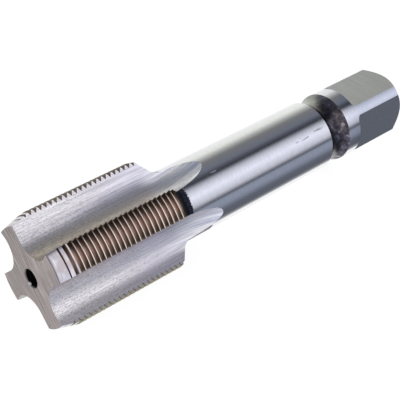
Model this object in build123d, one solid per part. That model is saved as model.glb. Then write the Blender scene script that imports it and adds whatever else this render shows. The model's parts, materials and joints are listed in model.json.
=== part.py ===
from build123d import *
from math import acos, atan2, cos, degrees, radians, sin, tan
import os

# A ground tap for an M30 x 1.5 thread, in one piece of high-speed steel: a threaded head with
# four flutes, a plain shank with a relief groove, and a driving square.
#
# The tap is drawn along its own axis, X, with its front face at x = 0 and the square at the far
# end. The last step lays it down as it comes to rest on a table: on the edges of two lands and
# on the rear end of the shank, with one flute facing straight down.
# Lengths are in millimetres and angles in degrees.

# Whole tool
TOTAL_LENGTH = 127.0
SHANK_DIAMETER = 20.0

# Thread: one start, right hand
THREAD_DIAMETER = 30.0
PITCH = 1.5
THREAD_ANGLE = 60.0
THREAD_DEPTH = 1.1  # of the sharp V that the grinding wheel leaves between two crests
THREAD_LENGTH = 37.4
FIRST_CREST = 5.2  # place of a crest half way across the first land

# Flutes and lands: directions are turned from straight up, right-handed about +X
FLUTE_COUNT = 4
CORE_DIAMETER = 14.3
FLUTE_RADIUS = 6.0  # the rounded bottom
FLUTE_OFFSET = 0.8  # the bottom lies this far towards the cutting face
CUTTING_FACE_SLOPE = 25.0  # from the middle plane of the flute
HEEL_FACE_SLOPE = 45.0
FLUTE_LENGTH = 38.5  # the full depth ends here
WHEEL_DIAMETER = 80.0  # the grinding wheel that shapes the flute's run-out
LAND_SPAN = 30.0

# Lead: the taper at the front of the lands, backed off behind each cutting edge
FRONT_DIAMETER = 27.0
LEAD_ANGLE = 15.6
LEAD_RELIEF = 0.15  # fall from a cutting edge to its heel

# Neck: the taper from the lands down to the shank
NECK_ANGLE = 50.0
NECK_FILLET = 3.6

# Relief groove in the shank
GROOVE_START = 95.2
GROOVE_WIDTH = 7.3
GROOVE_DEPTH = 1.5

# Driving square
SQUARE_ACROSS_FLATS = 16.0
SQUARE_LENGTH = 20.0
SQUARE_RUNOUT_RADIUS = 1.2
END_CHAMFER = 2.0

# Centre holes
CENTRE_MOUTH_DIAMETER = 5.3
CENTRE_PILOT_DIAMETER = 2.5
CENTRE_PILOT_DEPTH = 5.5
CENTRE_ANGLE = 60.0

# Sizes that follow from those above
CLEAR = 1.0  # a cutter reaches this far past the surface that it starts from
crest_radius = THREAD_DIAMETER / 2
root_radius = crest_radius - THREAD_DEPTH
shank_radius = SHANK_DIAMETER / 2
core_radius = CORE_DIAMETER / 2
outside_radius = crest_radius + CLEAR
land_step = 360 / FLUTE_COUNT
flute_angles = [land_step * index for index in range(FLUTE_COUNT)]
land_angles = [angle + land_step / 2 for angle in flute_angles]


def turned(angle):
    """A turn about the tap's axis, right-handed about +X."""
    return Rot(angle, 0, 0)


def make_blank():
    """The turned blank: head, neck and shank, before the thread, flutes, groove and square."""
    neck_foot = THREAD_LENGTH + (crest_radius - shank_radius) / tan(radians(NECK_ANGLE))
    outline = Polyline(
        (0, 0),
        (0, crest_radius),
        (THREAD_LENGTH, crest_radius),
        (neck_foot, shank_radius),
        (TOTAL_LENGTH - END_CHAMFER, shank_radius),
        (TOTAL_LENGTH, shank_radius - END_CHAMFER),
        (TOTAL_LENGTH, 0),
        close=True,
    )
    profile = make_face(outline)
    corner = profile.vertices().sort_by_distance((neck_foot, shank_radius))[0]
    return revolve(Plane.XZ * fillet(corner, NECK_FILLET), Axis.X)


def make_lead_cutter():
    """What is ground off the front of the land that points straight up.

    It is all that lies outside a cone whose axis is beside the tap's, on the cutting edge's
    side, so that the land falls away by LEAD_RELIEF from its cutting edge to its heel.
    """
    slope = tan(radians(LEAD_ANGLE))
    beside = LEAD_RELIEF / 2 / sin(radians(LAND_SPAN / 2))
    front_radius = (FRONT_DIAMETER - LEAD_RELIEF) / 2
    outline = Polyline(
        (-CLEAR, front_radius - CLEAR * slope),
        (-CLEAR, outside_radius),
        ((outside_radius - front_radius) / slope, outside_radius),
        close=True,
    )
    ring = revolve(Plane.XZ * make_face(outline), Axis.X, land_step)
    return Pos(0, beside, 0) * turned(-land_step / 2) * ring


def make_flute_cutter():
    """The form of the flute on top: straight, then rising as the grinding wheel leaves it.

    The run-out is swept along a spline that follows the wheel's arc, because the spline's
    surface needs fewer triangles than a torus.
    """
    centre = Vector(FLUTE_OFFSET, core_radius + FLUTE_RADIUS)
    face_angle = radians(CUTTING_FACE_SLOPE)
    heel_angle = radians(HEEL_FACE_SLOPE)
    face_foot = centre + Vector(cos(face_angle), -sin(face_angle)) * FLUTE_RADIUS
    heel_foot = centre - Vector(cos(heel_angle), sin(heel_angle)) * FLUTE_RADIUS
    face_rise = outside_radius - face_foot.Y
    heel_rise = outside_radius - heel_foot.Y
    face_top = face_foot + Vector(face_rise * tan(face_angle), face_rise)
    heel_top = heel_foot + Vector(-heel_rise * tan(heel_angle), heel_rise)
    bottom = centre - Vector(0, FLUTE_RADIUS)
    outline = [
        Line(heel_top, heel_foot),
        ThreePointArc(heel_foot, bottom, face_foot),
        Polyline(face_foot, face_top, heel_top),
    ]
    across = Plane(origin=(0, 0, 0), x_dir=(0, -1, 0), z_dir=(-1, 0, 0))
    section = across * make_face(outline)
    end_section = Pos(FLUTE_LENGTH, 0, 0) * section
    wheel_radius = WHEEL_DIAMETER / 2
    rise = shank_radius + CLEAR - core_radius
    rise_angle = degrees(acos(1 - rise / wheel_radius))
    wheel_centre = (FLUTE_LENGTH, core_radius + wheel_radius)
    wheel = Plane.XZ * CenterArc(wheel_centre, wheel_radius, -90, rise_angle)
    path = Spline(wheel @ 0, wheel @ 0.5, wheel @ 1, tangents=(wheel % 0, wheel % 1))
    return extrude(end_section, FLUTE_LENGTH + CLEAR) + sweep(end_section, path=path)


def make_thread_cutters():
    """One comb of V grooves for each land, swept along the thread's helix.

    The comb is drawn straight up and reaches over a land and a little into the flutes beside
    it. Its copies are turned to their lands and shifted along the tap by the helix's rise.
    """
    comb_radius = root_radius + PITCH / 2 / tan(radians(THREAD_ANGLE / 2))
    groove = FIRST_CREST - PITCH / 2 - 2 * PITCH
    points = [(groove - PITCH / 2, comb_radius)]
    while groove < THREAD_LENGTH + PITCH / 2:
        points.append((groove, root_radius))
        points.append((groove + PITCH / 2, comb_radius))
        groove += PITCH
    points.append((points[-1][0], comb_radius + CLEAR))
    points.append((points[0][0], comb_radius + CLEAR))
    section = Plane.XZ * make_face(Polyline(*points, close=True))
    comb_span = 1.5 * LAND_SPAN
    upright = Plane(origin=(0, 0, 0), x_dir=(0, 0, 1), z_dir=(1, 0, 0))
    helix = upright * Helix(PITCH, PITCH * comb_span / 360, crest_radius)
    comb = sweep(section, path=helix, is_frenet=True)
    cutters = []
    for land_angle in land_angles:
        comb_start = land_angle - comb_span / 2
        rise = PITCH * (comb_start - land_angles[0]) / 360
        cutters.append(turned(comb_start) * Pos(rise, 0, 0) * comb)
    return cutters


def make_groove_cutter():
    """The round-bottomed relief groove, as a ring around the shank."""
    radius = (GROOVE_WIDTH**2 / 4 + GROOVE_DEPTH**2) / (2 * GROOVE_DEPTH)
    middle = (GROOVE_START + GROOVE_WIDTH / 2, shank_radius - GROOVE_DEPTH + radius)
    return revolve(Plane.XZ * Pos(*middle) * Circle(radius), Axis.X)


def make_square_cutter():
    """What is milled off above the top flat: the wall at its front end has a rounded foot."""
    flat_height = SQUARE_ACROSS_FLATS / 2
    flat_start = TOTAL_LENGTH - SQUARE_LENGTH
    outline = Polyline(
        (flat_start, flat_height),
        (flat_start, outside_radius),
        (TOTAL_LENGTH + CLEAR, outside_radius),
        (TOTAL_LENGTH + CLEAR, flat_height),
        close=True,
    )
    profile = make_face(outline)
    foot = profile.vertices().sort_by_distance((flat_start, flat_height))[0]
    profile = fillet(foot, SQUARE_RUNOUT_RADIUS)
    return extrude(Plane.XZ * profile, shank_radius, both=True)


def make_centre_cutter():
    """A centre hole at the front face: a cone for the grinding centre and its pilot drilling."""
    mouth = CENTRE_MOUTH_DIAMETER / 2
    pilot = CENTRE_PILOT_DIAMETER / 2
    slope = tan(radians(CENTRE_ANGLE / 2))
    outline = Polyline(
        (-CLEAR, 0),
        (-CLEAR, mouth + CLEAR * slope),
        ((mouth - pilot) / slope, pilot),
        (CENTRE_PILOT_DEPTH, pilot),
        (CENTRE_PILOT_DEPTH, 0),
        close=True,
    )
    return revolve(Plane.XZ * make_face(outline), Axis.X)


def make_tap():
    """The whole tap, along X."""
    tap = make_blank() - make_groove_cutter()
    for land_angle in land_angles:
        tap -= turned(land_angle) * make_lead_cutter()
    for flute_angle in flute_angles:
        tap -= turned(flute_angle) * make_flute_cutter()
    tap -= make_thread_cutters()
    for flat_angle in (0, 90, 180, 270):
        tap -= turned(flat_angle) * make_square_cutter()
    front_centre = make_centre_cutter()
    rear_centre = Pos(TOTAL_LENGTH, 0, 0) * Rot(0, 180, 0) * front_centre
    return tap - front_centre - rear_centre


def lay_down(tap):
    """The tap as it rests on a table at z = 0, with the origin below the middle of its box.

    The edges of the two lower lands touch at the rear end of the head, and so does the last of
    the shank in front of the square, which leaves the square's end in the air.
    """
    land_drop = -min(vertex.Z for vertex in tap.vertices())
    support_length = TOTAL_LENGTH - SQUARE_LENGTH - THREAD_LENGTH
    tilt = degrees(atan2(land_drop - shank_radius, support_length))
    tilted = Rot(0, tilt, 0) * tap
    box = tilted.bounding_box()
    return Pos(-box.center().X, 0, -box.min.Z) * tilted


os.makedirs("parts", exist_ok=True)
export_step(lay_down(make_tap()), "parts/tap.step")
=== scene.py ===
# %% [markdown]
# # A ground thread tap, dressed for its portrait
#
# A tap is a hardened steel screw with flutes cut along it, so that its thread ends in rows of
# cutting teeth. The shape comes from a CAD model. This lesson gives it what the CAD model has
# no word for: how each surface was made. A tap is turned, hardened, ground and partly left
# black, and every one of those steps leaves its own colour and its own lines.

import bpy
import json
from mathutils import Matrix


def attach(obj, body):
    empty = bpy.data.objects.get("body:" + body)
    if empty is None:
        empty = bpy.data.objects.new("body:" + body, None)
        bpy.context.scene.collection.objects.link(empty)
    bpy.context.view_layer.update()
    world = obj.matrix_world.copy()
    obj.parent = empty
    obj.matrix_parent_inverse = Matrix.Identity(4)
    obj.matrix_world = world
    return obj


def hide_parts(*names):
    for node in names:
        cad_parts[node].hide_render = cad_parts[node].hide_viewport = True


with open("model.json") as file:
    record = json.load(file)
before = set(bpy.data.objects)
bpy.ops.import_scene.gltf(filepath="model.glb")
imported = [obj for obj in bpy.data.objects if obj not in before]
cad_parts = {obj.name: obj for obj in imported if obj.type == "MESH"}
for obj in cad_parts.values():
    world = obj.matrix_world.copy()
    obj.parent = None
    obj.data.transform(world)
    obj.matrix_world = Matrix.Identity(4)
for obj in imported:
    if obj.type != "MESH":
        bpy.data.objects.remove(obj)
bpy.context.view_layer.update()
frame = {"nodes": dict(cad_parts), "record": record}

# %% [markdown]
# ## Where the tap lies
#
# The tap rests on its threaded head and on the rear of its shank, so its own axis slopes a
# little. Every surface is easier to name along that axis: a distance from the front face, and
# a distance out from the middle. The record that comes with the CAD model names the centres of
# both end faces, and the axis runs from one to the other. One matrix carries points between
# the table's frame and the tap's. Blender counts in metres, so `MM` turns a size in
# millimetres into Blender's units.

# %% The tap's own axis
import bpy
import bmesh
import json
from math import atan2, degrees, radians, sin, sqrt, tan
from mathutils import Matrix, Vector

MM = 0.001
mounts = {mount["name"]: Vector(mount["pos_m"]) for mount in frame["record"]["mounts"]}
front_centre = mounts["cutting_thread"]
axis = mounts["drive_square"] - front_centre
tilt = atan2(-axis.z, axis.x)
lying = Matrix.Translation(front_centre) @ Matrix.Rotation(tilt, 4, "Y")
upright = lying.inverted()


def along_the_tap(point):
    """A point of the table's frame as (along, across, up) from the front face, in millimetres."""
    return (upright @ point) / MM


print("the axis is", round(axis.length / MM, 2), "mm long and slopes by", round(degrees(tilt), 3), "degrees")

# %% [markdown]
# ## One skin without seams
#
# The CAD node is a heap of loose triangles, which a light shows as flat facets. It is left as
# it is, because it is what the physics knows. A copy has its doubled corners merged, so that it
# can be shaded smooth. Building the tap anew would give the same surfaces with more work and a
# risk of departing from the CAD.

# %% Copy and merge
MERGE_DISTANCE = 0.0005 * MM
cad_tap = frame["nodes"]["tap"]
skin = bmesh.new()
skin.from_mesh(cad_tap.data)
corners_before = len(skin.verts)
bmesh.ops.remove_doubles(skin, verts=skin.verts, dist=MERGE_DISTANCE)
bmesh.ops.dissolve_degenerate(skin, edges=skin.edges, dist=MERGE_DISTANCE)
print("corners:", corners_before, "before and", len(skin.verts), "after merging")
print("open edges:", sum(1 for edge in skin.edges if not edge.is_manifold))

# %% [markdown]
# ## The sizes that tell surfaces apart
#
# On the real tap a change of finish is always at an edge that some machine left: the thread
# stops where the neck's cone starts, the bright shank starts where the neck's fillet ends.
# These are the sizes of those edges, in millimetres from the front face or out from the axis.

# %% Sizes from the shop drawing
LENGTH = 127.0
THREAD_LENGTH = 37.4
PITCH = 1.5
LEAD_END = 6.0
CREST_RADIUS = 15.0
ROOT_RADIUS = 13.9
SHANK_RADIUS = 10.0
NECK_ANGLE = radians(50)
NECK_FILLET = 3.6
GROOVE_START = 95.2
GROOVE_WIDTH = 7.3
GROOVE_DEPTH = 1.5
SQUARE_LENGTH = 20.0
END_CHAMFER = 2.0
HOLE_RADIUS = 2.65
PILOT_RADIUS = 1.25
neck_foot = THREAD_LENGTH + (CREST_RADIUS - SHANK_RADIUS) / tan(NECK_ANGLE)
neck_end = neck_foot + NECK_FILLET * tan(NECK_ANGLE / 2)
groove_middle = GROOVE_START + GROOVE_WIDTH / 2
groove_radius = (GROOVE_WIDTH**2 / 4 + GROOVE_DEPTH**2) / (2 * GROOVE_DEPTH)
print("end of the neck:", round(neck_end, 3), "and radius of the groove's arc:", round(groove_radius, 2))

# %% [markdown]
# ## A name for every surface
#
# Each triangle is sorted by its place along the tap, its distance from the axis and the way it
# faces. Those three tell a flank from a crest and a flute from a land. The finishes could be
# painted on by hand instead, but the rules hold for all four lands at once and can be read.

# %% Sort the triangles
SLACK = 0.05  # a triangle's middle may lie this far past the edge of its surface
finishes = [
    "front_face", "centre_hole", "flute", "lead", "thread_flank", "thread_crest",
    "neck", "shank", "relief_groove", "square_flat", "square_wall", "rear_end",
]


def finish_of(face):
    """The finish of one triangle."""
    middle = along_the_tap(face.calc_center_median())
    facing = upright.to_3x3() @ face.normal
    out = Vector((0, middle.y, middle.z))
    radius = out.length
    outward = facing.dot(out.normalized()) if radius > 0 else 0
    x = middle.x
    straight_out = outward > 0.98
    as_steep_as_a_flank = abs(facing.x) > 0.5
    as_steep_as_the_lead = outward > 0.9 and -0.3 < facing.x < -0.2
    in_the_cone = facing.x > 0.3
    in_the_fillet = facing.x > 0.005 and outward > 0.85 and radius > SHANK_RADIUS - 10 * SLACK
    in_the_thread = x < THREAD_LENGTH + 2 * SLACK
    in_the_last_groove = x < THREAD_LENGTH + PITCH and facing.x < -0.5 and radius > ROOT_RADIUS - 2 * SLACK
    in_the_square = x > LENGTH - SQUARE_LENGTH - SLACK
    if x < SLACK and facing.x < -0.9:
        return "front_face"
    if radius < HOLE_RADIUS + SLACK and abs(facing.x) < 0.95 or radius < PILOT_RADIUS + SLACK:
        return "centre_hole"
    if x > LENGTH - END_CHAMFER - SLACK and facing.x > 0.5:
        return "rear_end"
    if in_the_square and max(abs(facing.y), abs(facing.z)) > 0.99:
        return "square_flat"
    if in_the_square and (radius < SHANK_RADIUS - SLACK or outward < 0.99):
        return "square_wall"
    if abs(x - groove_middle) < GROOVE_WIDTH / 2 + SLACK and radius < SHANK_RADIUS - 0.001:
        return "relief_groove"
    if x > neck_end - SLACK and radius > SHANK_RADIUS - 2 * SLACK and straight_out:
        return "shank"
    if in_the_thread and as_steep_as_a_flank or in_the_last_groove:
        return "thread_flank"
    if x < LEAD_END and as_steep_as_the_lead:
        return "lead"
    if in_the_thread and radius > CREST_RADIUS - SLACK and straight_out:
        return "thread_crest"
    if THREAD_LENGTH - SLACK < x < neck_end + SLACK and (in_the_cone or in_the_fillet):
        return "neck"
    return "flute"


counts = dict.fromkeys(finishes, 0)
for face in skin.faces:
    name = finish_of(face)
    face.material_index = finishes.index(name)
    counts[name] += 1
print(counts)

# %% [markdown]
# ## Crisp edges
#
# A ground edge is sharp enough to cut a finger, so nothing rounds it off. Shading is smooth
# inside each finish and breaks where two finishes meet, and at any edge of more than 25
# degrees. That keeps the thread's crests and the rims of the flutes crisp.

# %% Smooth and sharp
CRISP_ANGLE = radians(25)
for face in skin.faces:
    face.smooth = True
for edge in skin.edges:
    same_finish = len({face.material_index for face in edge.link_faces}) == 1
    edge.smooth = same_finish and edge.calc_face_angle(0) < CRISP_ANGLE
print("crisp edges:", sum(1 for edge in skin.edges if not edge.smooth), "of", len(skin.edges))
skin_mesh = bpy.data.meshes.new("tap_skin")
skin.to_mesh(skin_mesh)
skin.free()

# %% [markdown]
# ## True normals for what a lathe turned
#
# The shank shows the room like a mirror, and a mirror shows every fault. Where a flute runs out
# into it, its triangles are long and thin, and normals that are averaged from them ripple. More
# triangles would only make the ripples finer. But the surface of a turned piece is known: at
# each corner it faces straight out from the axis, and it leans forward by an amount that
# depends only on the place along the axis. So the normals are worked out and written in.

# %% Normals of the turned surfaces
forward_lean = {
    "shank": lambda x: 0,
    "thread_crest": lambda x: 0,
    "neck": lambda x: min(sin(NECK_ANGLE), (neck_end - x) / NECK_FILLET),
    "relief_groove": lambda x: (groove_middle - x) / groove_radius,
}
STEEPEST = 0.99
old_normals = skin_mesh.attributes.get("custom_normal")
if old_normals:
    skin_mesh.attributes.remove(old_normals)
normals = [(0, 0, 0)] * len(skin_mesh.loops)
for polygon in skin_mesh.polygons:
    lean = forward_lean.get(finishes[polygon.material_index])
    if lean is None:
        continue
    for index in polygon.loop_indices:
        corner = along_the_tap(skin_mesh.vertices[skin_mesh.loops[index].vertex_index].co)
        forward = max(-STEEPEST, min(STEEPEST, lean(corner.x)))
        out = Vector((0, corner.y, corner.z)).normalized() * sqrt(1 - forward**2)
        normals[index] = lying.to_3x3() @ Vector((forward, out.y, out.z))
skin_mesh.normals_split_custom_set(normals)
print("corners with a turned normal:", sum(1 for normal in normals if any(normal)))

# %% [markdown]
# ## The skin takes the CAD tap's place
#
# The skin has the CAD tap's own triangles, so it can stand in for it. Both could be left to
# show, but two surfaces in one place flicker.

# %% Put the skin in the scene
tap = bpy.data.objects.new("tap_skin", skin_mesh)
bpy.context.scene.collection.objects.link(tap)
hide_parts("tap")
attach(tap, "root")
print("the skin has", len(skin_mesh.polygons), "triangles")

# %% [markdown]
# ## Tools for the finishes
#
# A finish is a tree of nodes, and the same few steps come back in every one: arithmetic, a fade
# from one place to another, a mix of two colours, some noise. Short helpers for these let a
# finish read like a recipe. Each takes sockets or plain values. The first ones are for sums and
# for node groups, which hold what several finishes share.

# %% Sums and node groups
def feed(tree, socket, value):
    """Gives a socket its value: another socket to read, or a plain number, vector or colour."""
    if isinstance(value, bpy.types.NodeSocket):
        tree.links.new(value, socket)
    elif socket.type == "RGBA":
        socket.default_value = (*value, 1.0)
    else:
        socket.default_value = value


def math_node(tree, operation, first, second=None):
    """The result of a Math node."""
    node = tree.nodes.new("ShaderNodeMath")
    node.operation = operation
    feed(tree, node.inputs[0], first)
    if second is not None:
        feed(tree, node.inputs[1], second)
    return node.outputs[0]


def new_group(name, inputs, outputs):
    """A shader node group with its sockets, and its two end nodes."""
    tree = bpy.data.node_groups.new(name, "ShaderNodeTree")
    for label, kind, value in inputs:
        socket = tree.interface.new_socket(label, in_out="INPUT", socket_type=kind)
        if value is not None:
            socket.default_value = value
    for label, kind in outputs:
        tree.interface.new_socket(label, in_out="OUTPUT", socket_type=kind)
    return tree, tree.nodes.new("NodeGroupInput"), tree.nodes.new("NodeGroupOutput")


print("helpers:", [helper.__name__ for helper in (feed, math_node, new_group)])

# %% [markdown]
# ## The tap's own coordinates
#
# Wear, stains and grinding lines follow the tap's axis, not the table. So this group turns
# Object coordinates into the tap's own, in millimetres. It gives the place along the axis, the
# distance from it, and the angle around it in degrees: 0 is up, 90 is the side towards the
# camera and 180 is down. Two more follow from the angle, and they repeat every quarter turn,
# as the flutes do: how far a point is behind the last cutting edge, and how far to the side of
# the nearest flute's middle it lies.

# %% The tap's own coordinates as a group
FLUTE_STEP = 90.0
CUTTING_EDGE = 30.0
HALF_STEP = FLUTE_STEP / 2


def past_mark(tree, angle, first_mark):
    """Degrees past the last mark, where the marks are one flute step apart."""
    turned_on = math_node(tree, "ADD", angle, 360.0 - first_mark)
    steps = math_node(tree, "DIVIDE", turned_on, FLUTE_STEP)
    return math_node(tree, "MULTIPLY", math_node(tree, "FRACT", steps), FLUTE_STEP)


def make_tap_coordinates():
    """The group that says where on the tap a point is."""
    labels = ("Along", "Radius", "Angle", "Behind Edge", "Across Flute")
    sockets = [("Vector", "NodeSocketVector")] + [(label, "NodeSocketFloat") for label in labels]
    tree, _, end = new_group("tap coordinates", [], sockets)
    place = tree.nodes.new("ShaderNodeTexCoord")
    turn = tree.nodes.new("ShaderNodeMapping")
    turn.vector_type = "POINT"
    turn.inputs["Scale"].default_value = (1 / MM, 1 / MM, 1 / MM)
    turn.inputs["Rotation"].default_value = (0, -tilt, 0)
    turn.inputs["Location"].default_value = upright.translation / MM
    tree.links.new(place.outputs["Object"], turn.inputs["Vector"])
    parts = tree.nodes.new("ShaderNodeSeparateXYZ")
    tree.links.new(turn.outputs["Vector"], parts.inputs[0])
    along, across, up = parts.outputs
    squares = [math_node(tree, "MULTIPLY", part, part) for part in (across, up)]
    radius = math_node(tree, "SQRT", math_node(tree, "ADD", *squares))
    to_camera = math_node(tree, "MULTIPLY", across, -1.0)
    angle = math_node(tree, "DEGREES", math_node(tree, "ARCTAN2", to_camera, up))
    behind_edge = past_mark(tree, angle, CUTTING_EDGE)
    off_flute = math_node(tree, "SUBTRACT", past_mark(tree, angle, -HALF_STEP), HALF_STEP)
    sideways = math_node(tree, "SINE", math_node(tree, "RADIANS", off_flute))
    across_flute = math_node(tree, "MULTIPLY", radius, sideways)
    tree.links.new(turn.outputs["Vector"], end.inputs["Vector"])
    for label, value in zip(labels, (along, radius, angle, behind_edge, across_flute)):
        tree.links.new(value, end.inputs[label])
    return tree


tap_coordinates = make_tap_coordinates()
print("outputs:", [socket.name for socket in tap_coordinates.interface.items_tree])

# %% [markdown]
# ## Grinding lines
#
# A grinding wheel leaves fine parallel scratches. Scratches cut into the mesh would take
# hundreds of thousands of triangles. This group draws them with noise that is stretched so far
# in one direction that each speck becomes a line. Patches of weaker lines keep the result from
# looking combed, and a second noise adds the dark dashes where grit has torn the steel.

# %% Noise, stretching and fading
def noise(tree, vector, scale, detail, roughness=0.5):
    """The value of a Noise Texture."""
    node = tree.nodes.new("ShaderNodeTexNoise")
    for label, value in (("Vector", vector), ("Scale", scale), ("Detail", detail), ("Roughness", roughness)):
        feed(tree, node.inputs[label], value)
    return node.outputs[0]


def stretched(tree, vector, factors):
    """A vector whose three parts are multiplied, which stretches a pattern that reads it."""
    node = tree.nodes.new("ShaderNodeVectorMath")
    node.operation = "MULTIPLY"
    feed(tree, node.inputs[0], vector)
    feed(tree, node.inputs[1], factors)
    return node.outputs[0]


def fade(tree, value, start, end, from_number=0.0, to_number=1.0, smooth=True):
    """A fade from one number to another, while a value goes from start to end."""
    node = tree.nodes.new("ShaderNodeMapRange")
    node.interpolation_type = "SMOOTHSTEP" if smooth else "LINEAR"
    limits = {"From Min": start, "From Max": end, "To Min": from_number, "To Max": to_number}
    for label, number in limits.items():
        node.inputs[label].default_value = number
    tree.links.new(value, node.inputs["Value"])
    return node.outputs["Result"]


print("helpers:", [helper.__name__ for helper in (noise, stretched, fade)])

# %% Grinding lines as a group
PATCHINESS = 0.3
GRIT_STRETCH = (0.30, 1.0, 1.0)


def make_grinding_lines():
    """The group that draws lines around a middle value of 0.5, and says where they are weak."""
    tree, start, end = new_group("grinding lines", [
        ("Vector", "NodeSocketVector", None), ("Turn", "NodeSocketVector", (0, 0, 0)),
        ("Stretch", "NodeSocketVector", (1, 1, 1)), ("Fineness", "NodeSocketFloat", 4.0),
        ("Speckle", "NodeSocketFloat", 0.0),
    ], [("Lines", "NodeSocketFloat"), ("Patches", "NodeSocketFloat")])
    place = start.outputs["Vector"]
    turn = tree.nodes.new("ShaderNodeMapping")
    tree.links.new(place, turn.inputs["Vector"])
    tree.links.new(start.outputs["Turn"], turn.inputs["Rotation"])
    squeezed = stretched(tree, turn.outputs["Vector"], start.outputs["Stretch"])
    fine = noise(tree, squeezed, start.outputs["Fineness"], detail=6.0, roughness=0.65)
    patch = fade(tree, noise(tree, place, 0.35, detail=3.0), 0.35, 0.65)
    weight = math_node(tree, "SUBTRACT", 1.0, math_node(tree, "MULTIPLY", patch, PATCHINESS))
    lines = math_node(tree, "MULTIPLY", math_node(tree, "SUBTRACT", fine, 0.5), weight)
    grit = noise(tree, stretched(tree, place, GRIT_STRETCH), 4.5, detail=2.0, roughness=0.7)
    torn = math_node(tree, "MULTIPLY", fade(tree, grit, 0.50, 0.34, 0.05, -0.35), start.outputs["Speckle"])
    lines = math_node(tree, "ADD", math_node(tree, "ADD", lines, 0.5), torn)
    tree.links.new(lines, end.inputs["Lines"])
    tree.links.new(patch, end.inputs["Patches"])
    return tree


grinding_lines = make_grinding_lines()
print("inputs:", [item.name for item in grinding_lines.interface.items_tree if item.in_out == "INPUT"])

# %% [markdown]
# ## Steel, ground
#
# All the ground surfaces are the same steel. What differs is how rough the wheel left them and
# which way its lines run. A metallic shader with one colour would look like grey plastic, so
# one maker function mixes two colours by the lines, lets the lines change the roughness a
# little, and ripples the surface with them. Each finish gives it its own numbers.

# %% Helpers for materials
def new_material(name, plain_values):
    """A material with a Principled shader, some of whose values are the same all over."""
    material = bpy.data.materials.new(name)
    material.use_nodes = True
    tree = material.node_tree
    tree.nodes.clear()
    shader = tree.nodes.new("ShaderNodeBsdfPrincipled")
    for label, value in plain_values.items():
        feed(tree, shader.inputs[label], value)
    surface = tree.nodes.new("ShaderNodeOutputMaterial")
    tree.links.new(shader.outputs[0], surface.inputs["Surface"])
    return material, tree, shader


def add_group(tree, group, **values):
    """A node group placed in a material, with its own values."""
    node = tree.nodes.new("ShaderNodeGroup")
    node.node_tree = group
    for label, value in values.items():
        feed(tree, node.inputs[label], value)
    return node


def mix_colour(tree, factor, first, second, blend="MIX"):
    """The result of a colour Mix node."""
    node = tree.nodes.new("ShaderNodeMix")
    node.data_type = "RGBA"
    node.blend_type = blend
    node.clamp_factor = True
    for socket, value in ((node.inputs[0], factor), (node.inputs[6], first), (node.inputs[7], second)):
        feed(tree, socket, value)
    return node.outputs[2]


def add_ripples(tree, shader, height, depth):
    """Ripples a surface by a height from 0 to 1, where 1 stands for a depth in millimetres."""
    bump = tree.nodes.new("ShaderNodeBump")
    bump.inputs["Strength"].default_value = 1.0
    bump.inputs["Distance"].default_value = depth * MM
    tree.links.new(height, bump.inputs["Height"])
    tree.links.new(bump.outputs[0], shader.inputs["Normal"])


print("helpers:", [helper.__name__ for helper in (new_material, add_group, mix_colour, add_ripples)])

# %% The maker of ground steel
LENGTHWISE = (0.02, 1.0, 1.0)
AROUND = (1.0, 0.1, 0.1)
NO_TURN = (0, 0, 0)


def ground_steel(name, dark, light, rough, stretch, turn=NO_TURN, fineness=3.0, depth=0.02, contrast=0.35):
    """Ground steel: fine lines in one direction mix two colours and ripple the surface."""
    material, tree, shader = new_material(name, {"Metallic": 1.0})
    place = add_group(tree, tap_coordinates)
    lines = add_group(tree, grinding_lines, Vector=place.outputs["Vector"],
                      Turn=turn, Stretch=stretch, Fineness=fineness)
    pattern = lines.outputs["Lines"]
    tone = fade(tree, pattern, 0.5 - contrast / 2, 0.5 + contrast / 2)
    tree.links.new(mix_colour(tree, tone, dark, light), shader.inputs["Base Color"])
    tree.links.new(fade(tree, pattern, 0.3, 0.7, rough + 0.05, rough - 0.05), shader.inputs["Roughness"])
    add_ripples(tree, shader, pattern, depth)
    return material, tree, shader, place, lines


materials = {}
print("finishes to make:", len(finishes))

# %% [markdown]
# ## The front face
#
# The front face is ground flat, straight across all four lands, so its lines run one way and
# ignore the flutes. On a turned face they would be rings around the centre hole. A turn of 45
# degrees and a strong stretch make them straight and slanting, and deep contrast gives the
# streaks of an unpolished face. The half nearest the camera is a little brighter. That is laid
# over the colour as a tint, because a lamp for it would change every other surface too.

# %% Front face
ACROSS_THE_FACE = (1.0, 1.0, 0.03)


def lay_over(tree, shader, mask, colour, blend="MULTIPLY"):
    """Lays a colour over what a shader already shows, as far as a mask says."""
    below = shader.inputs["Base Color"].links[0].from_socket
    tree.links.new(mix_colour(tree, mask, below, colour, blend), shader.inputs["Base Color"])


materials["front_face"], tree, shader, place, lines = ground_steel(
    "ground front face", dark=(0.08, 0.067, 0.065), light=(0.43, 0.383, 0.374), rough=0.42,
    stretch=ACROSS_THE_FACE, turn=(radians(45), 0, 0), fineness=3.4, contrast=0.44)
angle = place.outputs["Angle"]
near_side = math_node(tree, "MULTIPLY", fade(tree, angle, -20, 45), fade(tree, angle, 190, 90, 0.3, 1.0))
lay_over(tree, shader, near_side, (1.19, 1.18, 1.19))
print("nodes in the front face's material:", len(tree.nodes))

# %% [markdown]
# ## The flutes
#
# A formed wheel grinds each flute from end to end in one pass, so the lines run lengthwise and
# the steel comes out bright. Chips and cutting oil leave it peppered with small dark dashes,
# most of all near the front where the cutting is done, and least on the sloped heel face.
# The group's dashes could have one strength everywhere, but then the run-outs would look dirty.

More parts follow.
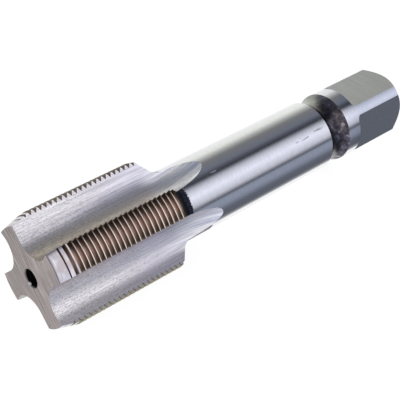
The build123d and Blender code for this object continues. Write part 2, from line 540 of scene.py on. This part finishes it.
# %% Flutes: lines and dashes
materials["flute"], tree, shader, place, lines = ground_steel(
    "ground flute", dark=(0.57, 0.535, 0.53), light=(1.0, 0.955, 0.94), rough=0.37,
    stretch=LENGTHWISE, fineness=3.2, depth=0.006, contrast=0.46)
along = place.outputs["Along"]
radius = place.outputs["Radius"]
angle = place.outputs["Angle"]
across = place.outputs["Across Flute"]
off_heel = fade(tree, across, -5.0, -2.5, 0.55, 1.0)
peppered = math_node(tree, "MULTIPLY", fade(tree, along, 42, 4, 0.1, 1.15), off_heel)
tree.links.new(peppered, lines.inputs["Speckle"])
print("nodes in the flutes' material:", len(tree.nodes))

# %% [markdown]
# ## Painted shade and stains in the top flute
#
# The floor of the top flute looks up into the dark part of the studio, so it is painted greyer than
# its sides: painted shade, standing in for the dark that it mirrors. Towards the near land, where the oil
# has dried, it turns a faint honey. The head as a whole cools towards the shank. These tints follow
# places on the tap, so masks made of its own coordinates draw them, and they stay put when the tap is
# turned.

# %% Flutes: painted shade and stains
HONEY = (1.0, 0.94, 0.83)
COOL_CAST = (0.97, 0.98, 1.05)


def between(tree, value, rise, fall):
    """A mask that fades in over one span of a value and out over another."""
    return math_node(tree, "MULTIPLY", fade(tree, value, *rise), fade(tree, value, *fall))


head = fade(tree, along, 42, 34)
# painted shade: the floor of the top flute is darkened where it would mirror the dark part of the studio
floor = math_node(tree, "MULTIPLY", between(tree, angle, rise=(-26.5, -20.5), fall=(-12, -19)), head)
floor_shade_grey = mix_colour(tree, fade(tree, along, 0, 30), (0.80, 0.80, 0.82), (0.46, 0.47, 0.50))
lay_over(tree, shader, floor, floor_shade_grey)
dried_oil = math_node(tree, "MULTIPLY", between(tree, angle, rise=(-20, -4), fall=(48, 38)), head)
lay_over(tree, shader, dried_oil, HONEY)
lay_over(tree, shader, fade(tree, along, 10, 38), COOL_CAST)
print("nodes in the flutes' material:", len(tree.nodes))

# %% [markdown]
# ## Run-outs
#
# Where the wheel leaves the work, it sparks out over the shank. The cut there is paler, and its
# lines are broader streaks. They have to follow the wheel over a curved surface, and noise in
# space would be cut aslant there and come out as blotches. So these streaks read a flat place:
# the distance along the tap, and the distance across the flute.

# %% Flutes: run-outs
PALE_STEEL = (1.0, 0.99, 0.97)
STREAK_GREY = (0.66, 0.68, 0.73)
BROAD_STREAKS = (0.03, 1.0, 1.0)
flat_place = tree.nodes.new("ShaderNodeCombineXYZ")
tree.links.new(along, flat_place.inputs[0])
tree.links.new(across, flat_place.inputs[1])
streaks = add_group(tree, grinding_lines, Vector=flat_place.outputs[0], Stretch=BROAD_STREAKS, Fineness=1.5)
runout = fade(tree, along, 36, 42)
streaky = math_node(tree, "MULTIPLY", runout, fade(tree, streaks.outputs["Lines"], 0.54, 0.42))
lay_over(tree, shader, math_node(tree, "MULTIPLY", runout, 0.6), PALE_STEEL, "MIX")
lay_over(tree, shader, streaky, STREAK_GREY)
print("nodes in the flutes' material:", len(tree.nodes))

# %% [markdown]
# ## The flute towards the camera
#
# In the near flute the strip of the heel face under the near land is painted darker, painted shade,
# and the cutting face is darker towards its edge. The near flute is also a little rougher. The side of
# the tap that lies nearest the table is painted dark and slightly green, painted shade where it lies close
# to the table. These could be materials of their own, but tints over the same steel let the grinding lines
# run on through them.

# %% Flutes: the near one and the underside
def roughen(tree, shader, more):
    """Adds to the roughness that a shader already has."""
    before = shader.inputs["Roughness"].links[0].from_socket
    tree.links.new(math_node(tree, "ADD", before, more), shader.inputs["Roughness"])


# painted shade: the strip of the heel face under the near land is darkened
near_heel_shade = between(tree, angle, rise=(50, 60), fall=(90, 77))
lay_over(tree, shader, near_heel_shade, (0.78, 0.75, 0.77))
# the cutting face is darker towards its edge
darker_towards_edge = math_node(tree, "MULTIPLY", fade(tree, radius, 11.2, 12.6), fade(tree, angle, 100, 110))
lay_over(tree, shader, darker_towards_edge, (0.84, 0.84, 0.87))
# painted shade: the underside, close to the table, is darkened and tinted slightly green
underside_shade = fade(tree, math_node(tree, "ABSOLUTE", angle), 140, 150)
lay_over(tree, shader, underside_shade, (0.42, 0.47, 0.40))
near_flute = between(tree, angle, rise=(55, 70), fall=(150, 130))
roughen(tree, shader, math_node(tree, "MULTIPLY", near_flute, 0.08))
print("nodes in the flutes' material:", len(tree.nodes))

# %% [markdown]
# ## The lead
#
# The lead is the taper on which the first teeth are cut down, and it does the cutting. It is
# ground around the axis, so its lines are short arcs, and heat has left patches of a dull
# violet. Its cutting edge and its front rim are dark hairlines, because a keen edge turns away
# from every lamp. A rounded edge in the mesh would be too small to catch light at this size.

# %% Lead
materials["lead"], tree, shader, place, lines = ground_steel(
    "ground lead", dark=(0.50, 0.475, 0.52), light=(0.82, 0.79, 0.85), rough=0.38,
    stretch=AROUND, fineness=2.0)
tarnish = math_node(tree, "MULTIPLY", lines.outputs["Patches"], 0.6)
lay_over(tree, shader, tarnish, (0.46, 0.40, 0.42), "MIX")
by_cutting_edge = fade(tree, place.outputs["Behind Edge"], 4, 0)
by_front_rim = fade(tree, place.outputs["Along"], 0.4, 0.1)
hairlines = math_node(tree, "MAXIMUM", by_cutting_edge, by_front_rim)
lay_over(tree, shader, hairlines, (0.16, 0.15, 0.17), "MIX")
print("nodes in the lead's material:", len(tree.nodes))

# %% [markdown]
# ## The thread's crests
#
# The crests are the outside of the blank, ground round before the thread was cut, and rubbed
# bright by every hole since. They keep a trace of the brown film as a straw tint. Behind each
# cutting edge they are painted dark, painted shade, and on the land beyond the top flute they look olive.
# Edge wear is often found from the mesh's sharp edges, but here the crests are faces of their own,
# so they simply get a brighter steel than the flanks.

# %% Thread crests
materials["thread_crest"], tree, shader, place, lines = ground_steel(
    "worn thread crest", dark=(0.66, 0.59, 0.52), light=(0.95, 0.87, 0.78), rough=0.35, stretch=AROUND)
# painted shade: the crests are darkened just behind each cutting edge
shade_behind_edge = fade(tree, place.outputs["Behind Edge"], 7, -1)
lay_over(tree, shader, shade_behind_edge, (0.13, 0.10, 0.08), "MIX")
far_side = fade(tree, place.outputs["Angle"], 0, -20)
lay_over(tree, shader, far_side, (0.42, 0.44, 0.38))
print("nodes in the crests' material:", len(tree.nodes))

# %% [markdown]
# ## The square and the rear end
#
# A wrench drives the tap by its square. The four flats are ground, so they are even and have
# almost no ripple. The walls where the cutter stopped are milled, and the rear face is turned,
# so both are rougher and darker. One material could serve all three, but a milled wall beside
# a ground flat shows the difference at once. The narrow round strips between the flats are what
# is left of the shank, and they keep its polish.

# %% Square flats, square walls and rear end
materials["square_flat"] = ground_steel(
    "ground square flat", dark=(0.475, 0.48, 0.49), light=(0.565, 0.57, 0.58), rough=0.25,
    stretch=(1.0, 0.03, 0.03), fineness=2.5, depth=0.004)[0]
materials["square_wall"] = ground_steel(
    "milled square wall", dark=(0.28, 0.28, 0.30), light=(0.40, 0.40, 0.42), rough=0.40, stretch=AROUND)[0]
materials["rear_end"] = ground_steel(
    "turned rear end", dark=(0.34, 0.34, 0.35), light=(0.46, 0.46, 0.47), rough=0.40,
    stretch=(1.0, 0.2, 0.2))[0]
print("finishes made:", sorted(materials))

# %% [markdown]
# ## The centre hole
#
# The tap is ground between two centres, and the cone for the front one is full of dirt and old
# grease. It is deep and narrow, so almost no light comes out of it. The mesh alone gives some of
# that shade, but smooth metal would still mirror the room, so the hole is also given an almost
# black colour. Its lip is rubbed, and a few painted glints at the low side stand for light caught on the
# cone.

# %% Centre hole
materials["centre_hole"], tree, shader, place, lines = ground_steel(
    "drilled centre hole", dark=(0.001, 0.001, 0.001), light=(0.005, 0.005, 0.005), rough=0.6,
    stretch=AROUND)
lip = fade(tree, place.outputs["Radius"], 2.44, 2.54)
lay_over(tree, shader, lip, (0.20, 0.18, 0.17), "MIX")
# painted highlight: a few glints on the cone at the low side, broken up by the lines
low_side = between(tree, place.outputs["Angle"], rise=(-170, -164), fall=(-146, -152))
by_mouth = math_node(tree, "MULTIPLY", low_side, fade(tree, place.outputs["Radius"], 2.36, 2.44))
painted_glints = math_node(tree, "MULTIPLY", by_mouth, fade(tree, lines.outputs["Lines"], 0.48, 0.54))
lay_over(tree, shader, painted_glints, (0.9, 0.9, 0.9), "MIX")
print("nodes in the centre hole's material:", len(tree.nodes))

# %% [markdown]
# ## The shank, ground last
#
# The shank has to run true in a holder, so it gets the finest wheel and shows the room like a
# mirror. It could have no pattern at all, but then it would look like chrome: lines too faint
# to see one by one still soften what it mirrors. Towards the square it is a touch darker.

# %% Polished shank
ALMOST_FLAT = 0.0005
materials["shank"], tree, shader, place, lines = ground_steel(
    "polished shank", dark=(0.61, 0.62, 0.65), light=(0.67, 0.67, 0.70), rough=0.14,
    stretch=(1.0, 0.25, 0.25), fineness=2.5, depth=ALMOST_FLAT)
along = place.outputs["Along"]
angle = place.outputs["Angle"]
lay_over(tree, shader, fade(tree, along, 101, 110), (0.80, 0.82, 0.88))
print("nodes in the shank's material:", len(tree.nodes))

# %% [markdown]
# ## Black at the shank's edge
#
# Where the shank meets the neck, the black of the furnace reaches over its edge in a ragged
# line, because the wheel only just touched there. On the side near the table it reaches almost
# 7 mm further, and on the far land it has been wiped off. The edge is a plain fade along the
# axis, shifted by noise. Scale isn't metal, so it also takes the metallic look away.

# %% Shank: the black edge
SCALE_BLACK = (0.03, 0.03, 0.04)
LOW_REACH = 6.8


def on_far_land(tree, place):
    """A mask for the land on the far side, where the black has been wiped off."""
    return between(tree, place.outputs["Angle"], rise=(-62, -50), fall=(-17, -23))


ragged = math_node(tree, "SUBTRACT", noise(tree, place.outputs["Vector"], 2.0, detail=4.0), 0.5)
reach = fade(tree, angle, 104, 112, 0.0, LOW_REACH)
past_neck = math_node(tree, "SUBTRACT", math_node(tree, "ADD", along, ragged), reach)
unwiped = math_node(tree, "SUBTRACT", 1.0, on_far_land(tree, place))
black_edge = math_node(tree, "MULTIPLY", fade(tree, past_neck, 43.75, 43.45), unwiped)
tree.links.new(math_node(tree, "SUBTRACT", 1.0, black_edge), shader.inputs["Metallic"])
shader.inputs["Specular IOR Level"].default_value = 0.05
print("nodes in the shank's material:", len(tree.nodes))

# %% [markdown]
# ## Scuffs
#
# Three faint scuffs keep the shank honest: a holder's jaws and a drawer full of other tools
# leave short dull dashes. Each scuff is a soft spot, with its place and size in millimetres
# along the tap and degrees around it, and stretched noise breaks it into dashes. They are dark
# only a little. What shows them is that they are dull where the rest is a mirror.

# %% Shank: scuffs
SCUFFS = ((85.2, 46.0, 3.4, 2.2), (91.8, 43.0, 2.6, 2.0), (54.2, 27.0, 1.3, 1.5))
SCUFF_DARKNESS = 0.3
SCUFF_ROUGHNESS = 0.35
SHORT_DASHES = (0.22, 1.0, 1.0)


def soft_spot(tree, place, along, angle, length, width):
    """A mask for a soft spot at one place, with its half length in mm and half width in degrees."""
    squares = []
    for label, middle, reach in (("Along", along, length), ("Angle", angle, width)):
        away = math_node(tree, "DIVIDE", math_node(tree, "SUBTRACT", place.outputs[label], middle), reach)
        squares.append(math_node(tree, "MULTIPLY", away, away))
    return fade(tree, math_node(tree, "ADD", *squares), 1.0, 0.3)


scuffs = 0.0
for scuff in SCUFFS:
    scuffs = math_node(tree, "MAXIMUM", scuffs, soft_spot(tree, place, *scuff))
dashes = add_group(tree, grinding_lines, Vector=place.outputs["Vector"], Stretch=SHORT_DASHES, Fineness=1.5)
scuffs = math_node(tree, "MULTIPLY", scuffs, fade(tree, dashes.outputs["Lines"], 0.47, 0.53))
roughen(tree, shader, math_node(tree, "MULTIPLY", scuffs, SCUFF_ROUGHNESS))
marks = math_node(tree, "MAXIMUM", black_edge, math_node(tree, "MULTIPLY", scuffs, SCUFF_DARKNESS))
lay_over(tree, shader, marks, SCALE_BLACK, "MIX")
print("nodes in the shank's material:", len(tree.nodes))

# %% [markdown]
# ## The film on the thread, with painted highlight and shade
#
# The thread is ground before the tap is tempered for the last time, and it keeps a brown film
# that the crests have lost. Its colour follows the radius: the roots are painted light, a painted
# highlight where a rounded root would mirror the softbox, and the flanks beside the crests are painted
# dark, painted shade where a steep flank mirrors the dark. It also follows the angle around the tap: just
# behind the cutting edge it is painted almost black, painted shade, in the middle of the land it is lighter,
# and at the heel it is aged. One brown for the whole thread would look painted.

# %% Brown thread flanks
materials["thread_flank"], tree, shader, place, lines = ground_steel(
    "browned thread flank", dark=(0.58, 0.46, 0.40), light=(0.88, 0.73, 0.66), rough=0.34, stretch=AROUND)
behind = place.outputs["Behind Edge"]
# painted highlight at the roots and painted shade beside the crests, faded by the radius
painted_crest_shade = fade(tree, place.outputs["Radius"], 13.9, 14.8)
painted_root_highlight = shader.inputs["Base Color"].links[0].from_socket
mid_land = mix_colour(tree, painted_crest_shade, painted_root_highlight, (0.28, 0.175, 0.125))
# painted shade: almost black just behind each cutting edge
shade_behind_edge = mix_colour(tree, painted_crest_shade, (0.22, 0.16, 0.125), (0.055, 0.037, 0.027))
aged = mix_colour(tree, painted_crest_shade, (0.40, 0.33, 0.27), (0.11, 0.08, 0.058))
brown = mix_colour(tree, fade(tree, behind, 0, 15), shade_behind_edge, mid_land)
brown = mix_colour(tree, fade(tree, behind, 17, 30), brown, aged)
print("nodes in the film:", len(tree.nodes))

# %% [markdown]
# ## A film of three colours
#
# Tempering colours come from the last degrees of heat, and the tap didn't lie evenly in the
# furnace. The land towards the camera is brown, the one below it is straw and the two far ones
# are olive. Three materials could do this, but the angle around the tap tells the lands apart
# within one. The first groove is painted darker on every land, painted shade for the deep shade in it,
# and the straw land is painted almost black just behind each cutting edge, painted shade too.

# %% Straw, olive and the first groove
pattern = lines.outputs["Lines"]
straw = mix_colour(tree, pattern, (0.17, 0.15, 0.085), (0.36, 0.33, 0.21))
# painted shade: the straw land is almost black just behind each cutting edge
straw = mix_colour(tree, fade(tree, behind, -2, 6), (0.05, 0.038, 0.03), straw)
olive = mix_colour(tree, pattern, (0.05, 0.037, 0.025), (0.12, 0.09, 0.062))
low_lands = fade(tree, place.outputs["Angle"], 85, 100)
far_lands = fade(tree, place.outputs["Angle"], 10, -10)
film = mix_colour(tree, far_lands, mix_colour(tree, low_lands, brown, straw), olive)
tree.links.new(film, shader.inputs["Base Color"])
# painted shade: the first groove is darkened on every land
lay_over(tree, shader, fade(tree, place.outputs["Along"], 5.5, 3.0), (0.36, 0.28, 0.26))
print("nodes in the film:", len(tree.nodes))

# %% [markdown]
# ## Steel, left black
#
# The neck behind the thread and the relief groove are turned before the tap is hardened, and
# no wheel touches them afterwards. The furnace and the oil bath leave them nearly black, with
# a violet cast and paler blotches where scale has come away. An even black would look painted,
# so soft noise draws the blotches, and both places share one maker function. On the upper far
# side both are paler; on the groove that paler side is a painted reflection of the white room at grazing
# angles.

# %% The maker of black steel
def black_steel(name, dark, mid, pale, upper_side_colour, rough, blotches, coverage, metal, shine):
    """Hardened steel that was left black, with pale blotches and a paler upper side, which on the groove is
    a painted reflection.
    """
    material, tree, shader = new_material(name, {"Metallic": metal, "Specular IOR Level": shine})
    place = add_group(tree, tap_coordinates)
    cloud = noise(tree, place.outputs["Vector"], blotches, detail=5.0, roughness=0.6)
    black = mix_colour(tree, fade(tree, cloud, 0.35, 0.6), dark, mid)
    blotch = fade(tree, cloud, 1 - coverage, 1 - coverage + 0.12)
    tree.links.new(mix_colour(tree, blotch, black, pale), shader.inputs["Base Color"])
    # paler upper side: on the groove a painted reflection of the white room at grazing angles
    upper_side = between(tree, place.outputs["Angle"], rise=(-150, -100), fall=(6, -26))
    lay_over(tree, shader, math_node(tree, "MULTIPLY", upper_side, 0.8), upper_side_colour, "MIX")
    tree.links.new(fade(tree, cloud, 0.3, 0.7, rough + 0.08, rough - 0.08), shader.inputs["Roughness"])
    grain = noise(tree, place.outputs["Vector"], 4.0, detail=4.0)
    add_ripples(tree, shader, grain, 0.02)
    return material, tree, shader, place, grain


# the groove's greenish grey upper side colour is a painted reflection
materials["relief_groove"] = black_steel(
    "blackened groove", dark=(0.035, 0.032, 0.038), mid=(0.095, 0.084, 0.10), pale=(0.30, 0.275, 0.32),
    upper_side_colour=(0.30, 0.31, 0.275), rough=0.24, blotches=0.6, coverage=0.42, metal=1.0, shine=0.25)[0]
print("finishes made:", len(materials))

# %% [markdown]
# ## The neck
#
# The neck's scale is thicker than the groove's and hides the metal, so it isn't metallic. Close
# to the shank, where the wheel's sparks hit it, it is grainy and bluish. On the far land it has
# been wiped bare. The same mask wipes the edge of the shank, so the two agree.

# %% Neck
materials["neck"], tree, shader, place, grain = black_steel(
    "blackened neck", dark=(0.0008, 0.0015, 0.003), mid=(0.003, 0.004, 0.007), pale=(0.05, 0.055, 0.08),
    upper_side_colour=(0.05, 0.06, 0.055), rough=0.5, blotches=1.2, coverage=0.40, metal=0.0, shine=0.06)
by_shank = fade(tree, place.outputs["Along"], 41.6, 42.6)
grainy = math_node(tree, "MULTIPLY", by_shank, fade(tree, grain, 0.38, 0.62))
lay_over(tree, shader, grainy, (0.035, 0.040, 0.065), "MIX")
lay_over(tree, shader, on_far_land(tree, place), (0.75, 0.75, 0.74), "MIX")
for name in finishes:
    tap.data.materials.append(materials[name])
print("materials on the tap:", len(tap.data.materials))

# %% [markdown]
# ## The studio
#
# Polished steel has no colour of its own to speak of: it shows the room. A round bar shows a
# whole turn of the room around its own length, squeezed into stripes. Lamps as objects would
# give the same stripes, but each would need its place and size, so this room is a ramp of
# strips instead, each at an angle around the long side of the tap: -180 and 180 are down, -90
# is behind the tap, 0 is overhead and 90 is in front. A warm white wall stands behind it,
# darkness is above, and one cool softbox in front has a dim band below it. The dark strips
# matter as much as the lamps, because they draw the lines along the shank that make it look
# round and hard.

# %% Strips of the room
PLAIN = (1.0, 1.0, 1.0)
WARM = (0.99, 1.0, 0.935)
COOL = (0.94, 0.955, 1.06)
DUSK = (0.86, 0.95, 1.18)
strips = [
    (-180, 1.36, PLAIN), (-140, 1.22, WARM), (-110, 1.22, WARM), (-68, 1.16, WARM),
    (-48, 0.57, WARM), (-34, 0.26, PLAIN), (-5, 0.24, DUSK), (6, 0.12, DUSK),
    (14, 0.05, DUSK), (18, 0.12, DUSK), (29, 0.70, COOL), (41, 1.05, COOL),
    (54, 1.30, COOL), (80, 0.80, COOL), (86, 0.42, COOL), (92, 0.10, DUSK),
    (99, 0.44, DUSK), (115, 0.43, DUSK), (136, 0.19, DUSK), (152, 0.17, DUSK),
    (162, 0.20, COOL), (172, 0.50, PLAIN), (180, 1.36, PLAIN),
]
BRIGHTEST = max(strength for angle, strength, tint in strips)
print("strips:", len(strips), "and the brightest has a strength of", BRIGHTEST)

# %% The strips as a ramp around the tap
world = bpy.data.worlds.new("studio")
bpy.context.scene.world = world
world.use_nodes = True
room = world.node_tree
room.nodes.clear()
look = room.nodes.new("ShaderNodeTexCoord")
direction = room.nodes.new("ShaderNodeSeparateXYZ")
room.links.new(look.outputs["Generated"], direction.inputs[0])
to_front = math_node(room, "MULTIPLY", direction.outputs[1], -1.0)
around = math_node(room, "DEGREES", math_node(room, "ARCTAN2", to_front, direction.outputs[2]))
ramp = room.nodes.new("ShaderNodeValToRGB")
stops = ramp.color_ramp.elements
while len(stops) < len(strips):
    stops.new(0.5)
for stop, (angle, strength, tint) in zip(stops, strips):
    stop.position = (angle + 180) / 360
    stop.color = [strength / BRIGHTEST * part for part in tint] + [1.0]
room.links.new(fade(room, around, -180, 180, smooth=False), ramp.inputs[0])
print("stops of the room's ramp:", [round(stop.position, 3) for stop in stops])

# %% [markdown]
# ## The wall on the left
#
# The strips run the length of the tap. Its cutting end looks left, out of the open end of the
# room, and the strips would show there as a fan. A plain wall closes the room on that side: pale
# in front, a little cooler low down, and dark high up, where the flutes' floors look.

# %% Left wall
to_right = direction.outputs[0]
high_up = between(room, around, rise=(-85, -55), fall=(25, 5))
high_left = math_node(room, "MULTIPLY", high_up, fade(room, to_right, -0.65, -0.45))
pale_wall = mix_colour(room, fade(room, around, 60, 100), (0.80, 0.80, 0.80), (0.73, 0.76, 0.86))
left_wall = mix_colour(room, high_left, pale_wall, (0.24, 0.27, 0.33))
whole_room = mix_colour(room, fade(room, to_right, 0.40, 0.0), ramp.outputs[0], left_wall)
shine = room.nodes.new("ShaderNodeBackground")
shine.inputs["Strength"].default_value = BRIGHTEST
room.links.new(whole_room, shine.inputs["Color"])
sky = room.nodes.new("ShaderNodeOutputWorld")
room.links.new(shine.outputs[0], sky.inputs["Surface"])
print("nodes in the room:", len(room.nodes))

# %% [markdown]
# ## The table
#
# The table is in two halves. The steel mirrors the half behind the tap as plain white, which
# keeps the tap's lower edge pale. The half in front is kept out of reflections, because the
# room's dim band has to show there. One sheet could do only one of the two. To the camera both
# halves look alike: it sees four fifths plain white and one fifth lit paper, so the background
# comes out white and the tap's shadow stays.

# %% The table in two halves
FAR_SIDE = 4.0
NEAR_EDGE = -0.008


def table_half(name, low_y, high_y):
    """One half of the table, from one side to the other, in metres."""
    flat = bmesh.new()
    bmesh.ops.create_grid(flat, x_segments=1, y_segments=1, size=FAR_SIDE)
    bmesh.ops.scale(flat, verts=flat.verts, vec=(1, (high_y - low_y) / (2 * FAR_SIDE), 1))
    bmesh.ops.translate(flat, verts=flat.verts, vec=(0, (high_y + low_y) / 2, 0))
    mesh = bpy.data.meshes.new(name)
    flat.to_mesh(mesh)
    flat.free()
    half = bpy.data.objects.new(name, mesh)
    bpy.context.scene.collection.objects.link(half)
    return half


table_behind = table_half("table_behind", NEAR_EDGE, FAR_SIDE)
table_in_front = table_half("table_in_front", -FAR_SIDE, NEAR_EDGE)
table_in_front.visible_glossy = False
print("the halves meet", -NEAR_EDGE / MM, "mm in front of the tap's middle")

# %% Paper for the table
WHITE_TO_CAMERA = 0.8
PAPER_WHITE = 1.15
paper, tree, shader = new_material("pale table", {
    "Metallic": 0.0, "Base Color": (0.85, 0.85, 0.85), "Roughness": 0.9, "Specular IOR Level": 0.0,
})
ray = tree.nodes.new("ShaderNodeLightPath")
white_share = math_node(tree, "MULTIPLY", ray.outputs["Is Camera Ray"], WHITE_TO_CAMERA)
for label in ("Is Glossy Ray", "Is Transmission Ray"):
    white_share = math_node(tree, "MAXIMUM", white_share, ray.outputs[label])
white = tree.nodes.new("ShaderNodeEmission")
white.inputs["Strength"].default_value = PAPER_WHITE
blend = tree.nodes.new("ShaderNodeMixShader")
surface = shader.outputs[0].links[0].to_socket
tree.links.new(white_share, blend.inputs["Fac"])
tree.links.new(shader.outputs[0], blend.inputs[1])
tree.links.new(white.outputs[0], blend.inputs[2])
tree.links.new(blend.outputs[0], surface)
for half in (table_behind, table_in_front):
    half.data.materials.append(paper)
print("nodes in the paper:", len(tree.nodes))

# %% [markdown]
# ## A white sweep for low views
#
# Seen from almost level, the camera looks over the table's far edge. A larger table would only
# move that edge, so a tall white wall closes the view there. It is for the camera alone: the
# steel goes on seeing the room and its lamps.

# %% The sweep
WALL_INSET = 0.05
wall = bmesh.new()
bmesh.ops.create_circle(wall, segments=48, radius=FAR_SIDE - WALL_INSET)
raised = bmesh.ops.extrude_edge_only(wall, edges=wall.edges)["geom"]
top_rim = [part for part in raised if isinstance(part, bmesh.types.BMVert)]
bmesh.ops.translate(wall, verts=top_rim, vec=(0, 0, FAR_SIDE))
wall_mesh = bpy.data.meshes.new("sweep")
wall.to_mesh(wall_mesh)
wall.free()
sweep = bpy.data.objects.new("sweep", wall_mesh)
bpy.context.scene.collection.objects.link(sweep)
sweep.visible_diffuse = False
sweep.visible_glossy = False
sweep.visible_shadow = False
plain_white, tree, shader = new_material("white sweep", {})
glow = tree.nodes.new("ShaderNodeEmission")
tree.links.new(glow.outputs[0], shader.outputs[0].links[0].to_socket)
tree.nodes.remove(shader)
sweep.data.materials.append(plain_white)
print("faces of the sweep:", len(wall_mesh.polygons))

# %% [markdown]
# ## The camera
#
# The camera looks down on the cutting end from the left, close enough for the thread to be
# clearly larger than the square. Its place, its angles and its long lens come from fitting the
# tap's known corners to the photograph. The heading is counted from +X, the table's long side.

# %% Camera
EYE = Vector((-161.50, -166.99, 192.59)) * MM
HEADING = radians(47.6378)
LOOKING_DOWN = radians(39.0435)
ROLL = radians(0.2247)
camera_data = bpy.data.cameras.new("camera")
camera_data.lens = 98.41
camera_data.sensor_width = 36
camera_data.clip_start = 0.01
camera_data.clip_end = 20
camera = bpy.data.objects.new("camera", camera_data)
bpy.context.scene.collection.objects.link(camera)
aim = Matrix.Rotation(HEADING - radians(90), 4, "Z") @ Matrix.Rotation(radians(90) - LOOKING_DOWN, 4, "X")
camera.matrix_world = Matrix.Translation(EYE) @ aim @ Matrix.Rotation(ROLL, 4, "Z")
bpy.context.scene.camera = camera
bpy.context.scene.view_settings.view_transform = "Standard"
print("from the camera to the tap's middle in mm:", round((EYE - (front_centre + axis / 2)).length / MM))
